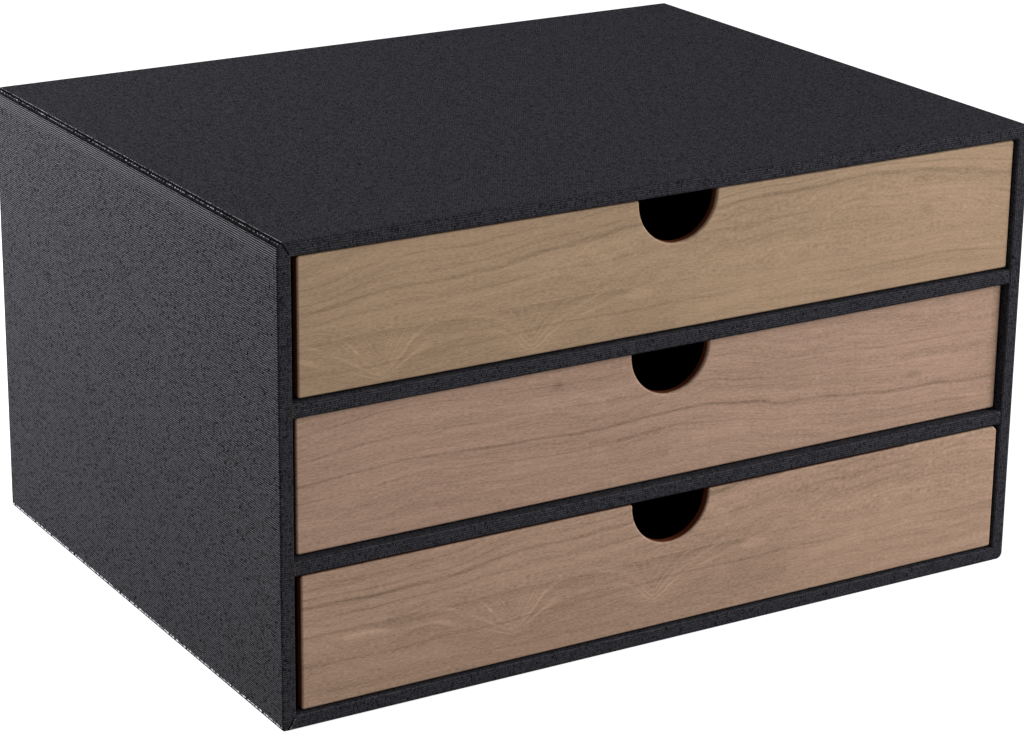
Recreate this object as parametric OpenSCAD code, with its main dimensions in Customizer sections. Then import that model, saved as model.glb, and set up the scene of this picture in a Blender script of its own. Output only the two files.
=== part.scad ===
// Desktop chest with three shallow drawers. A board case covered with canvas paper, two fixed
// shelves, and three board trays whose fronts are wrapped in wood-look paper.
// The origin is under the middle of the case: +X to the right, +Y to the back, +Z up.

/* [Case] */
// Width of the case over its covering
case_w = 333; // [260:1:420]
// Depth of the case from the front edges to the back sheet
case_d = 255; // [200:1:340]
// Height of the case from the table
case_h = 185; // [165:1:260]
// Board of the top, bottom and sides
board_t = 5; // [3:0.1:7]
// Board of the back
back_board_t = 5; // [2:0.1:8]
// Board of the two shelves
shelf_board_t = 5.2; // [3:0.1:7]

/* [Covering] */
// Canvas paper on the outside of the case and on the shelves
cover_t = 0.35; // [0.2:0.05:0.6]
// Paper that lines the inside of the case
lining_t = 0.35; // [0.2:0.05:0.6]
// Outside radius where the canvas paper goes round the right-hand edges
fold_r = 2.8; // [2:0.1:4]
// Outside radius where the left-hand sheet turns over onto the top
crease_r = 2.2; // [1:0.1:3]
// Outside radius of every other covered edge round the outside of the case
edge_r = 1; // [0.8:0.1:1.6]
// Outside radius of the front edges round the mouth of the case
mouth_r = 0.8; // [0.7:0.1:1.6]
// Outside radius of the front edges of a shelf
shelf_edge_r = 1.3; // [0.8:0.1:1.8]
// Width of the strip that the left-hand sheet turns over onto the top and the bottom
seam_w = 2.3; // [1:0.1:3]
// How far the canvas paper is turned in behind the front edges
turn_in = 18; // [8:1:40]
// How far the canvas paper is turned over at the back and underneath
turn_over = 20; // [10:1:35]
// Sheet glued over the back
back_sheet_t = 0.3; // [0.2:0.05:0.6]
// Sheet glued under the bottom
base_sheet_t = 0.3; // [0.2:0.05:0.6]
// Margin of canvas paper that shows round the back and bottom sheets
sheet_margin = 3; // [1:0.5:8]

/* [Drawer fronts] */
// Board inside a drawer front
front_board_t = 2.8; // [2:0.1:5]
// Wood-look paper round a drawer front
foil_t = 0.3; // [0.15:0.05:0.5]
// How far the wood-look paper is turned onto the back of the front
foil_turn = 12; // [6:1:12]
// Outside radius of the front edges of a drawer front
front_edge_r = 0.9; // [0.8:0.1:2]
// Radius of the corners of a drawer front
front_corner_r = 1; // [0.7:0.1:3]
// Radius of the upper right corner of the bottom front, which is wrapped rounder than the others
blunt_corner_r = 2.6; // [0.7:0.1:3]
// Radius of the finger notch
notch_r = 17.4; // [12:0.2:20]
// Radius of the two upper corners of the finger notch
notch_lip_r = 1; // [0.7:0.1:2]

/* [Drawer trays] */
// Board of a tray's sides and back
tray_board_t = 2.2; // [1.5:0.1:4]
// Board of a tray's bottom
tray_floor_t = 2; // [1.5:0.1:4]
// Paper on the outside of a tray
tray_cover_t = 0.3; // [0.15:0.05:0.5]
// Paper on the inside of a tray
tray_lining_t = 0.3; // [0.15:0.05:0.5]
// How far the outer paper is turned down inside the rim
tray_turn = 12; // [5:1:20]
// How far the lining behind a front ends below the finger notch
notch_margin = 2; // [1:0.5:5]
// Outside radius of a tray's covered edges
tray_edge_r = 0.9; // [0.6:0.1:1.5]
// How far each side of a tray stands in from the end of its front
tray_inset = 0.6; // [0:0.1:3]
// How far the rim of a tray lies below the top of its front
rim_drop = 1.5; // [0:0.1:6]

/* [Clearances] */
// Gap between a centred drawer front and the case on either side
side_gap = 1.8; // [0.8:0.1:3]
// Gap over a drawer front
head_gap = 0.6; // [0.4:0.1:2]
// Gap under a drawer front
foot_gap = 0.95; // [0.4:0.05:2]
// Height of the weave that a tray slides on
run_gap = 0.2; // [0.1:0.05:0.4]
// Gap behind a tray that is pushed right in
back_gap = 0.3; // [0.2:0.1:3]

/* [How the drawers stand] */
// How far a front stands behind the edges of the case when its drawer is right in
closed_recess = 3.1; // [0:0.1:6]
// How far the top drawer is pulled forward
top_pull = 1.6; // [0:0.1:20]
// How far the middle drawer is pulled forward
middle_pull = 0; // [0:0.1:20]
// How far the bottom drawer is pulled forward
bottom_pull = 2.3; // [0:0.1:20]
// How far the top drawer lies to the right, as a share of the side gap
top_drift = 0.55; // [-0.8:0.05:0.8]
// How far the middle drawer lies to the right, as a share of the side gap
middle_drift = 0.3; // [-0.8:0.05:0.8]
// How far the bottom drawer lies to the right, as a share of the side gap
bottom_drift = 0.55; // [-0.8:0.05:0.8]

/* [Hidden] */
$fn = 48;
TIERS = ["bottom", "middle", "top"];
PIECES = ["front_board", "front_foil", "left_side", "right_side", "back", "bottom", "cover", "lining"];
CASE_NODES = [
    "case_top_board", "case_bottom_board", "case_left_board", "case_right_board", "case_back_board",
    "case_wrap", "left_side_cover", "back_cover", "base_sheet", "case_lining",
    "lower_shelf_board", "lower_shelf_wrap", "upper_shelf_board", "upper_shelf_wrap"
];

// Cutters run this far past the faces that they cut
past = 1;
// Room for glue where a board's round edge lies inside a folded sheet
glue_t = 0.1;

// Outer faces of the covered tube. The back and base sheets lie on it
left_x = -case_w / 2;
right_x = case_w / 2;
front_y = -case_d / 2;
rear_y = case_d / 2 - back_sheet_t;
under_z = base_sheet_t;

// From an outer face to a board's inner face, and to the turned-in paper on it
board_in = cover_t + board_t;
mouth_in = board_in + cover_t;
back_board_y = rear_y - cover_t - back_board_t;

// The clear space between the turned-in or lined walls
wall_in = board_in + max(cover_t, lining_t);
inner_w = case_w - 2 * wall_in;
floor_z = under_z + wall_in;
ceiling_z = case_h - wall_in;
inner_back_y = back_board_y - lining_t;

// Three equal bays between two shelves
shelf_t = shelf_board_t + 2 * cover_t;
bay_h = (ceiling_z - floor_z - 2 * shelf_t) / 3;
bay_pitch = bay_h + shelf_t;

// Drawer front, in the drawer's own frame: y = 0 at its face, z = 0 under its tray
front_t = front_board_t + 2 * foil_t;
front_w = inner_w - 2 * side_gap;
front_z = foot_gap - run_gap;
front_top_z = front_z + bay_h - head_gap - foot_gap;
notch_z = front_top_z - notch_lip_r;
notch_foot_z = notch_z - notch_r;

// Tray, in the same frame
tray_w = front_w - 2 * tray_inset;
tray_h = front_top_z - rim_drop;
tray_l = inner_back_y - back_gap - front_y - closed_recess;
tray_in = tray_cover_t + tray_board_t;
tray_floor_z = tray_cover_t + tray_floor_t;
turn_z = tray_h - tray_turn;

// Where each drawer stands, from the bottom one up
pull = [bottom_pull, middle_pull, top_pull];
drift = [bottom_drift, middle_drift, top_drift];

// ---------------------------------------------------------------- shapes

// Extrudes a shape drawn in X and Z from the depth y0 to y1
module along_y(y0, y1) {
    rotate([90, 0, 0]) translate([0, 0, -y1]) linear_extrude(height = y1 - y0) children();
}

// Extrudes a shape drawn in Y and Z from x0 to x1
module along_x(x0, x1) {
    translate([x0, 0, 0]) rotate([90, 0, 90]) linear_extrude(height = x1 - x0) children();
}

// Extrudes a shape drawn in X and Y from the height z0 to z1
module along_z(z0, z1) {
    translate([0, 0, z0]) linear_extrude(height = z1 - z0) children();
}

// Box between two opposite corners
module span(low, high) {
    translate(low) cube(high - low);
}

// Rectangle between two opposite corners
module flat_span(low, high) {
    translate(low) square(high - low);
}

// What a rounded corner at the origin loses, on a shape that lies in +X and +Y
module corner_waste(r) {
    if (r > 0) difference() {
        flat_span([-past, -past], [r, r]);
        translate([r, r]) circle(r);
    }
}

// Rectangle with a radius for each corner: lower left, upper left, lower right and upper right
module soft_rect(low, high, r) {
    difference() {
        flat_span(low, high);
        translate(low) corner_waste(r[0]);
        translate([low[0], high[1]]) mirror([0, 1]) corner_waste(r[1]);
        translate([high[0], low[1]]) mirror([1, 0]) corner_waste(r[2]);
        translate(high) rotate(180) corner_waste(r[3]);
    }
}

// Rectangle that comes in from the left of low, between two edges that are rounded there
module flared_rect(low, high, r) {
    difference() {
        union() {
            flat_span([low[0] - past, low[1]], high);
            flat_span([low[0] - past, low[1] - r], [low[0] + r, high[1] + r]);
        }
        translate([low[0] + r, low[1] - r]) circle(r);
        translate([low[0] + r, high[1] + r]) circle(r);
    }
}

module board_colour() {
    color([0.55, 0.46, 0.36]) children();
}

module canvas_colour() {
    color([0.16, 0.16, 0.17]) children();
}

module lining_colour() {
    color([0.08, 0.08, 0.09]) children();
}

module wood_look_colour() {
    color([0.61, 0.51, 0.42]) children();
}

// ---------------------------------------------------------------- case boards

// The tube as one block, drawn in from its outer faces, with its edges rounded. Less is what its
// radii lose there
module tube_block(inset, less) {
    low = [left_x + inset, front_y + inset, under_z + inset];
    high = [right_x - inset, rear_y - inset, case_h - inset];
    edge = edge_r - less;
    long_edges = [edge, crease_r - less, fold_r - less, fold_r - less];
    end_edges = [edge, edge, edge, edge];
    intersection() {
        along_y(low[1], high[1]) soft_rect([low[0], low[2]], [high[0], high[2]], long_edges);
        along_x(low[0], high[0]) soft_rect([low[1], low[2]], [high[1], high[2]], end_edges);
        along_z(low[2], high[2]) soft_rect([low[0], low[1]], [high[0], high[1]], end_edges);
    }
}

// The mouth of the tube from its front to the depth y1, with its edges rounded. It is drawn out
// towards the boards by inset, which is 0 for the face of the canvas paper
module mouth(inset, less, y1) {
    low = [left_x + mouth_in - inset, front_y + inset, under_z + mouth_in - inset];
    high = [right_x - mouth_in + inset, y1, case_h - mouth_in + inset];
    r = mouth_r - less;
    intersection() {
        along_x(left_x, right_x) flared_rect([low[1], low[2]], [high[1], high[2]], r);
        along_z(under_z, case_h) mirror([1, -1]) flared_rect([low[1], low[0]], [high[1], high[0]], r);
    }
}

// The block that the boards make. Its edges are a little rounder than the inside of the covering
module board_block() {
    difference() {
        tube_block(cover_t, cover_t - glue_t);
        mouth(cover_t, cover_t - glue_t, front_y + turn_in);
    }
}

module case_top_board() {
    board_colour() intersection() {
        board_block();
        span([left_x, front_y, case_h - board_in], [right_x, rear_y, case_h]);
    }
}

module case_bottom_board() {
    board_colour() intersection() {
        board_block();
        span([left_x, front_y, under_z], [right_x, rear_y, under_z + board_in]);
    }
}

// A side board stands between the top and the bottom boards
module case_side_board(x0, x1) {
    board_colour() intersection() {
        board_block();
        span([x0, front_y, under_z + board_in], [x1, rear_y, case_h - board_in]);
    }
}

// The back board is let in between the other four, flush with their rear edges
module case_back_board() {
    board_colour() span(
        [left_x + board_in, back_board_y, under_z + board_in],
        [right_x - board_in, rear_y - cover_t, case_h - board_in]
    );
}

// ---------------------------------------------------------------- case covering

// All the canvas paper of the case: the outer faces, the front edges, and what is turned in and over
module case_covering() {
    difference() {
        tube_block(0, 0);
        mouth(0, 0, front_y + turn_in + past);
        difference() {
            tube_block(cover_t, cover_t);
            mouth(cover_t, cover_t, front_y + turn_in);
        }
        along_y(back_board_y, rear_y + past) back_window();
        along_z(under_z - past, floor_z) base_window();
    }
}

// What the turned-over edges leave bare at the back
module back_window() {
    flat_span([left_x + turn_over, under_z + turn_over], [right_x - turn_over, case_h - turn_over]);
}

// What the turned-over edges leave bare underneath
module base_window() {
    flat_span([left_x + turn_over, front_y + turn_over], [right_x - turn_over, rear_y - turn_over]);
}

// The left-hand sheet as seen from the front: it ends in a mitre above and below the mouth
module left_sheet_region() {
    reach = (mouth_in + past) / mouth_in;
    mitre_x = left_x + seam_w + (mouth_in - seam_w) * reach;
    polygon([
        [left_x - past, under_z - past],
        [left_x + seam_w, under_z - past],
        [left_x + seam_w, under_z],
        [mitre_x, under_z + mouth_in * reach],
        [mitre_x, case_h - mouth_in * reach],
        [left_x + seam_w, case_h],
        [left_x + seam_w, case_h + past],
        [left_x - past, case_h + past]
    ]);
}

module case_wrap() {
    canvas_colour() difference() {
        case_covering();
        along_y(front_y - past, rear_y + past) left_sheet_region();
    }
}

module left_side_cover() {
    canvas_colour() intersection() {
        case_covering();
        along_y(front_y - past, rear_y + past) left_sheet_region();
    }
}

// The back sheet lies over the turned-over edges and is pressed down between them
module back_cover() {
    canvas_colour() {
        along_y(rear_y, rear_y + back_sheet_t) flat_span(
            [left_x + sheet_margin, under_z + sheet_margin],
            [right_x - sheet_margin, case_h - sheet_margin]
        );
        along_y(rear_y - cover_t, rear_y) back_window();
    }
}

// The base sheet does the same underneath, and is what the chest stands on
module base_sheet() {
    canvas_colour() {
        along_z(0, base_sheet_t) flat_span(
            [left_x + sheet_margin, front_y + sheet_margin],
            [right_x - sheet_margin, rear_y - sheet_margin]
        );
        along_z(base_sheet_t, base_sheet_t + cover_t) base_window();
    }
}

module case_lining() {
    lining_colour() difference() {
        span(
            [left_x + board_in, front_y + turn_in, under_z + board_in],
            [right_x - board_in, back_board_y, case_h - board_in]
        );
        span(
            [left_x + board_in + lining_t, front_y + turn_in - past, under_z + board_in + lining_t],
            [right_x - board_in - lining_t, inner_back_y, case_h - board_in - lining_t]
        );
    }
}

// ---------------------------------------------------------------- shelves

// Side view of a shelf: level 1 is the lower one
module shelf_outline(level, inset, round_front) {
    z0 = floor_z + level * bay_pitch - shelf_t;
    r = [round_front, round_front, 0, 0];
    soft_rect([front_y + inset, z0 + inset], [inner_back_y, z0 + shelf_t - inset], r);
}

module shelf_board(level) {
    board_colour() along_x(-inner_w / 2, inner_w / 2)
        shelf_outline(level, cover_t, shelf_edge_r - cover_t + glue_t);
}

module shelf_wrap(level) {
    canvas_colour() along_x(-inner_w / 2, inner_w / 2) difference() {
        shelf_outline(level, 0, shelf_edge_r);
        shelf_outline(level, cover_t, shelf_edge_r - cover_t);
    }
}

// ---------------------------------------------------------------- drawer fronts

// Sets a piece that is drawn in its drawer's frame in its place in the case
module in_bay(tier) {
    face_y = front_y + closed_recess - pull[tier];
    translate([drift[tier] * side_gap, face_y, floor_z + tier * bay_pitch + run_gap]) children();
}

// Takes the finger notch out of a front whose face is at y0, and rolls the front edge of the notch
module notch_cutter(y0, r, lip, roll) {
    translate([0, y0, notch_z]) rotate([-90, 0, 0]) rotate_extrude() difference() {
        union() {
            flat_span([0, -past], [r, front_t + past]);
            flat_span([0, -past], [r + roll, roll]);
        }
        translate([r + roll, roll]) circle(roll);
    }
    along_y(y0 - past, front_t + past) difference() {
        flat_span([-r - lip, notch_z], [r + lip, front_top_z + past]);
        for (side = [-1, 1]) translate([side * (r + lip), notch_z]) circle(lip);
    }
}

// A front without its notch, drawn in from its outside, with its face edges and its corners rounded.
// Less is what its radii lose there
module front_block(tier, inset, less) {
    low = [-front_w / 2 + inset, inset, front_z + inset];
    high = [front_w / 2 - inset, front_t - inset, front_top_z - inset];
    edge = [front_edge_r - less, front_edge_r - less, 0, 0];
    corner = front_corner_r - less;
    last_corner = TIERS[tier] == "bottom" ? blunt_corner_r - less : corner;
    intersection() {
        along_y(low[1], high[1])
            soft_rect([low[0], low[2]], [high[0], high[2]], [corner, corner, corner, last_corner]);
        along_x(low[0], high[0])
            soft_rect([low[1], low[2]], [high[1], high[2]], edge);
        along_z(low[2], high[2])
            mirror([1, -1]) soft_rect([low[1], low[0]], [high[1], high[0]], edge);
    }
}

module drawer_front_board(tier) {
    board_colour() in_bay(tier) difference() {
        front_block(tier, foil_t, foil_t - glue_t);
        notch_cutter(foil_t, notch_r + foil_t + glue_t, notch_lip_r - foil_t - glue_t, front_edge_r);
    }
}

module drawer_front_foil(tier) {
    wood_look_colour() in_bay(tier) difference() {
        front_block(tier, 0, 0);
        notch_cutter(0, notch_r, notch_lip_r, front_edge_r);
        difference() {
            front_block(tier, foil_t, foil_t);
            notch_cutter(foil_t, notch_r + foil_t, notch_lip_r - foil_t, front_edge_r - foil_t);
        }
        along_y(foil_t, front_t + past) flat_span(
            [-front_w / 2 + foil_turn, front_z + foil_turn],
            [front_w / 2 - foil_turn, notch_foot_z - foil_turn / 2]
        );
    }
}

// ---------------------------------------------------------------- drawer trays

// A tray as one block from the depth y0 back, drawn in from its outside, with rounded edges
module tray_block(inset, y0, round_edge) {
    low = [-tray_w / 2 + inset, y0, inset];
    high = [tray_w / 2 - inset, tray_l - inset, tray_h - inset];
    all_edges = [round_edge, round_edge, round_edge, round_edge];
    rear_edges = [0, 0, round_edge, round_edge];
    intersection() {
        along_y(low[1], high[1]) soft_rect([low[0], low[2]], [high[0], high[2]], all_edges);
        along_x(low[0], high[0]) soft_rect([low[1], low[2]], [high[1], high[2]], rear_edges);
        along_z(low[2], high[2])
            mirror([1, -1]) soft_rect([low[1], low[0]], [high[1], high[0]], rear_edges);
    }
}

// The boards' outside: a little rounder than the inside of the cover
module tray_board_block() {
    tray_block(tray_cover_t, front_t, tray_edge_r - tray_cover_t + glue_t);
}

// A side reaches from the front to the rear corner
module drawer_side(tier, x0, x1) {
    board_colour() in_bay(tier) intersection() {
        tray_board_block();
        span([x0, front_t, 0], [x1, tray_l, tray_h]);
    }
}

module drawer_back(tier) {
    board_colour() in_bay(tier) intersection() {
        tray_board_block();
        span([-tray_w / 2 + tray_in, tray_l - tray_in, 0], [tray_w / 2 - tray_in, tray_l, tray_h]);
    }
}

// The bottom is let in between the sides and the back
module drawer_bottom(tier) {
    board_colour() in_bay(tier) span(
        [-tray_w / 2 + tray_in, front_t, tray_cover_t],
        [tray_w / 2 - tray_in, tray_l - tray_in, tray_floor_z]
    );
}

// Outer paper: under the bottom, up the sides and the back, over the rim and down inside it
module drawer_cover(tier) {
    inner = tray_in + tray_cover_t;
    lining_colour() in_bay(tier) {
        difference() {
            tray_block(0, front_t, tray_edge_r);
            tray_block(tray_cover_t, front_t - past, tray_edge_r - tray_cover_t);
            span(
                [-tray_w / 2 + inner, front_t - past, tray_floor_z],
                [tray_w / 2 - inner, tray_l - inner, tray_h + past]
            );
        }
        difference() {
            span(
                [-tray_w / 2 + tray_in, front_t, turn_z],
                [tray_w / 2 - tray_in, tray_l - tray_in, tray_h]
            );
            span(
                [-tray_w / 2 + inner, front_t - past, turn_z - past],
                [tray_w / 2 - inner, tray_l - inner, tray_h + past]
            );
        }
    }
}

// Inner paper: over the bottom and up to the turned-down cover, lower behind the finger notch
module drawer_lining(tier) {
    inner = tray_in + tray_lining_t;
    lining_colour() in_bay(tier) difference() {
        span(
            [-tray_w / 2 + tray_in, front_t, tray_floor_z],
            [tray_w / 2 - tray_in, tray_l - tray_in, turn_z]
        );
        span(
            [-tray_w / 2 + inner, front_t + tray_lining_t, tray_floor_z + tray_lining_t],
            [tray_w / 2 - inner, tray_l - inner, tray_h]
        );
        span(
            [-tray_w / 2 + inner, front_t - past, notch_foot_z - notch_margin],
            [tray_w / 2 - inner, front_t + tray_lining_t + past, tray_h]
        );
    }
}

// ---------------------------------------------------------------- the whole chest

case_top_board();
case_bottom_board();
case_side_board(left_x, left_x + board_in);  // case_left_board
case_side_board(right_x - board_in, right_x);  // case_right_board
case_back_board();
case_wrap();
left_side_cover();
back_cover();
base_sheet();
case_lining();
shelf_board(1);  // lower_shelf_board
shelf_wrap(1);  // lower_shelf_wrap
shelf_board(2);  // upper_shelf_board
shelf_wrap(2);  // upper_shelf_wrap

for (tier = [0:2]) {
    name = str(TIERS[tier], "_drawer_");
    drawer_front_board(tier);
    drawer_front_foil(tier);
    drawer_side(tier, -tray_w / 2, -tray_w / 2 + tray_in);
    drawer_side(tier, tray_w / 2 - tray_in, tray_w / 2);
    drawer_back(tier);
    drawer_bottom(tier);
    drawer_cover(tier);
    drawer_lining(tier);
}
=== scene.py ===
"""Desktop chest with three drawers: the covering papers and their finish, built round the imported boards."""
import math

import bmesh
import bpy
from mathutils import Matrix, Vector


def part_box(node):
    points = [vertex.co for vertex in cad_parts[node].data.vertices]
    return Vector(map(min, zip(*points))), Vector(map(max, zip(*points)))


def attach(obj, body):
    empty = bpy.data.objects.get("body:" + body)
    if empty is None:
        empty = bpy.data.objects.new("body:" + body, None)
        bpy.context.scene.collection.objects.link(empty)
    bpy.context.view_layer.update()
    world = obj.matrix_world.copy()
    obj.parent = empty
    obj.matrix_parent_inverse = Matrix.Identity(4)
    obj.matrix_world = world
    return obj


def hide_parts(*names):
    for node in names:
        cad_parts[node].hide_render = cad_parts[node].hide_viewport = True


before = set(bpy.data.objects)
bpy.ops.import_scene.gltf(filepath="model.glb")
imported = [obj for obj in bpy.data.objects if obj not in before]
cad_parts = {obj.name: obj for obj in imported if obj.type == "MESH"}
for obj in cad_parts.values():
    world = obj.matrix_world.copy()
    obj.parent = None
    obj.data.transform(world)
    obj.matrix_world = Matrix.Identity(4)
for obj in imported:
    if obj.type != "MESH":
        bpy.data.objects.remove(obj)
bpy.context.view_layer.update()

# ---------------------------------------------------------------- the carcass boards
# Top, bottom, two sides and a back of grey-brown fibreboard, 5 mm thick, glued edge to edge.
# They were sawn to size, so their edges show the pressed fibres. Paper covers all of them.

MM = 0.001


def linear(hex_colour):
    """The linear colour that a shader takes, from an sRGB hex value."""
    channels = [int(hex_colour[i:i + 2], 16) / 255 for i in (1, 3, 5)]
    curve = [c / 12.92 if c <= 0.04045 else ((c + 0.055) / 1.055) ** 2.4 for c in channels]
    return (*curve, 1.0)


def add_node(tree, kind, inputs=None, **settings):
    """Adds a node with its settings. An input is given a value, or the output or the node that feeds it."""
    node = tree.nodes.new("ShaderNode" + kind)
    for name, value in settings.items():
        setattr(node, name, value)
    for socket, value in (inputs or {}).items():
        if isinstance(value, bpy.types.Node):
            value = next(output for output in value.outputs if output.enabled)
        if isinstance(value, bpy.types.NodeSocket):
            tree.links.new(value, node.inputs[socket])
        else:
            node.inputs[socket].default_value = value
    return node


def new_material(name):
    """A material with an empty node tree, and that tree."""
    material = bpy.data.materials.new(name)
    material.use_nodes = True
    material.node_tree.nodes.clear()
    return material, material.node_tree


def give_surface(tree, inputs):
    """Ends a material in the shader of a solid surface with these inputs."""
    shader = add_node(tree, "BsdfPrincipled", inputs)
    add_node(tree, "OutputMaterial", {"Surface": shader})


def fibreboard():
    """Pressed wood fibre: matt, with flecks of lighter and darker fibre about 1.5 mm long."""
    material, tree = new_material("fibreboard")
    place = add_node(tree, "TexCoord").outputs["Object"]
    flecks = add_node(tree, "TexNoise", {
        "Vector": place, "Scale": 1 / (1.5 * MM), "Detail": 4.0, "Roughness": 0.65,
    })
    tone = add_node(tree, "ValToRGB", {"Fac": flecks})
    tone.color_ramp.elements[0].position = 0.3
    tone.color_ramp.elements[0].color = linear("#6d5a45")
    tone.color_ramp.elements[1].position = 0.7
    tone.color_ramp.elements[1].color = linear("#a28a6b")
    relief = add_node(tree, "Bump", {"Height": flecks, "Distance": 0.08 * MM, "Strength": 0.6})
    give_surface(tree, {"Base Color": tone, "Roughness": 0.9, "Normal": relief})
    return material


def dress(nodes, material):
    """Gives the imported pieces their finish."""
    for name in nodes:
        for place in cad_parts[name].material_slots:
            place.material = material


board_finish = fibreboard()
dress(["case_top_board", "case_bottom_board", "case_left_board", "case_right_board", "case_back_board"],
      board_finish)

# ---------------------------------------------------------------- the lining of the case
# Black paper glued inside the carcass, behind the turned-in canvas paper.
# It is uncoated, so it is dead matt, and its near-black colour is both its own and painted shade for the
# dark inside of the case.


def plain_paper(name, light, dark, fibre):
    """Uncoated paper dyed right through: matt, with a faint cloud of fibres of that length."""
    material, tree = new_material(name)
    place = add_node(tree, "TexCoord").outputs["Object"]
    fibres = add_node(tree, "TexNoise", {
        "Vector": place, "Scale": 1 / fibre, "Detail": 5.0, "Roughness": 0.7,
    })
    tone = add_node(tree, "Mix", {"Factor": fibres, "A": linear(dark), "B": linear(light)}, data_type="RGBA")
    relief = add_node(tree, "Bump", {"Height": fibres, "Distance": 0.03 * MM, "Strength": 0.5})
    give_surface(tree, {
        "Base Color": tone, "Roughness": 0.85, "Specular IOR Level": 0.1, "Normal": relief,
    })
    return material


inner_paper = plain_paper("inner_paper", light="#1c1c1e", dark="#0e0e10", fibre=0.9 * MM)
dress(["case_lining"], inner_paper)

# ---------------------------------------------------------------- the canvas paper of the case
# Two sheets of black embossed canvas paper, glued on. One goes over the top, the right side and the
# bottom; the other covers the left side and ends under the first one's cut edge.

sheet_t = 0.35 * MM
turn_in = 18 * MM
turn_over = 20 * MM
fold_r = 2.8 * MM
crease_r = 2.2 * MM
foot_crease_r = 1.2 * MM
frayed_w = 0.6 * MM
edge_r = 1.0 * MM
mouth_r = 0.8 * MM
seam_front_w = 2.4 * MM
seam_back_w = 1.2 * MM
strip_drop = 0.2 * MM
stile_drop = 0.1 * MM
shaded_w = 0.9 * MM
pale_strip_w = 0.4 * MM
head_band_from = 8 * MM
head_band_w = 5 * MM
fine_pitch = 0.53 * MM
coarse_pitch = 0.855 * MM


def block(name, low, high):
    """A block between two corners, left in edit mode, with its place in its mesh."""
    bpy.ops.object.select_all(action="DESELECT")
    low, high = Vector(low), Vector(high)
    bpy.ops.mesh.primitive_cube_add(size=1, calc_uvs=False, location=(low + high) / 2)
    piece = bpy.context.object
    piece.name = piece.data.name = name
    piece.scale = high - low
    bpy.ops.object.transform_apply(location=True, rotation=True, scale=True)
    bpy.ops.object.mode_set(mode="EDIT")
    return piece


def pick(piece, kind, test):
    """Selects the faces, edges or points of a piece in edit mode that pass the test."""
    bpy.ops.mesh.select_mode(type=kind)
    bpy.ops.mesh.select_all(action="DESELECT")
    mesh = bmesh.from_edit_mesh(piece.data)
    mesh.normal_update()
    parts = {"FACE": mesh.faces, "EDGE": mesh.edges, "VERT": mesh.verts}[kind]
    for part in [p for p in parts if test(p)]:
        part.select_set(True)
    bmesh.update_edit_mesh(piece.data)


def middle(part):
    """The middle of a face or an edge."""
    return sum((corner.co for corner in part.verts), Vector()) / len(part.verts)


def near(a, b):
    """Whether two places on an axis are the same."""
    return abs(a - b) < 0.01 * MM


def faces_at(axis, place, side):
    """A test for the faces that look along an axis, to that side, at that place."""
    return lambda face: face.normal[axis] * side > 0.9 and near(middle(face)[axis], place)


def edges_in(axis, place):
    """A test for the edges that lie in a plane and aren't between two faces of that plane."""
    return lambda edge: all(near(v.co[axis], place) for v in edge.verts) and not all(
        abs(face.normal[axis]) > 0.99 for face in edge.link_faces)


def roll_edges(radius, segments):
    """Rounds the selected edges."""
    bpy.ops.mesh.bevel(offset=radius, offset_type="OFFSET", segments=segments, profile=0.5,
                       affect="EDGES", clamp_overlap=False)


def cut(place, normal):
    """Draws an edge through the selected faces, in a plane."""
    bpy.ops.mesh.bisect(plane_co=place, plane_no=Vector(normal).normalized(),
                        clear_inner=False, clear_outer=False)


def apply_modifier(piece, kind, **settings):
    """Adds a modifier to the active piece and applies it."""
    modifier = piece.modifiers.new(kind.lower(), kind)
    for name, value in settings.items():
        setattr(modifier, name, value)
    bpy.ops.object.modifier_apply(modifier=modifier.name)


def make_sheet(piece, thickness, materials):
    """Gives an open surface the thickness of its paper, inwards, and its cut edges the second material."""
    bpy.ops.object.select_all(action="DESELECT")
    bpy.context.view_layer.objects.active = piece
    piece.select_set(True)
    piece.data.materials.clear()
    for material in materials:
        piece.data.materials.append(material)
    apply_modifier(piece, "SOLIDIFY", thickness=thickness, offset=-1.0,
                   material_offset_rim=min(1, len(materials) - 1))
    smooth(piece)


def smooth(piece):
    """Shades a piece so that its flats are flat and its rolled edges round."""
    bpy.ops.object.select_all(action="DESELECT")
    bpy.context.view_layer.objects.active = piece
    piece.select_set(True)
    bpy.ops.object.shade_smooth_by_angle(angle=math.radians(40))
    apply_modifier(piece, "WEIGHTED_NORMAL", keep_sharp=True, weight=50)


def lay_weave(piece, spread):
    """Lays a sheet's weave on a piece, in metres: fine threads lie side by side along U, coarse along V."""
    mesh = piece.data
    layer = mesh.uv_layers.new(name="weave")
    for face in mesh.polygons:
        for corner in face.loop_indices:
            spot = mesh.vertices[mesh.loops[corner].vertex_index].co
            layer.data[corner].uv = spread(face, spot)


def facing(face):
    """The axis that a face looks along most."""
    return max(range(3), key=lambda i: abs(face.normal[i]))


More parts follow.
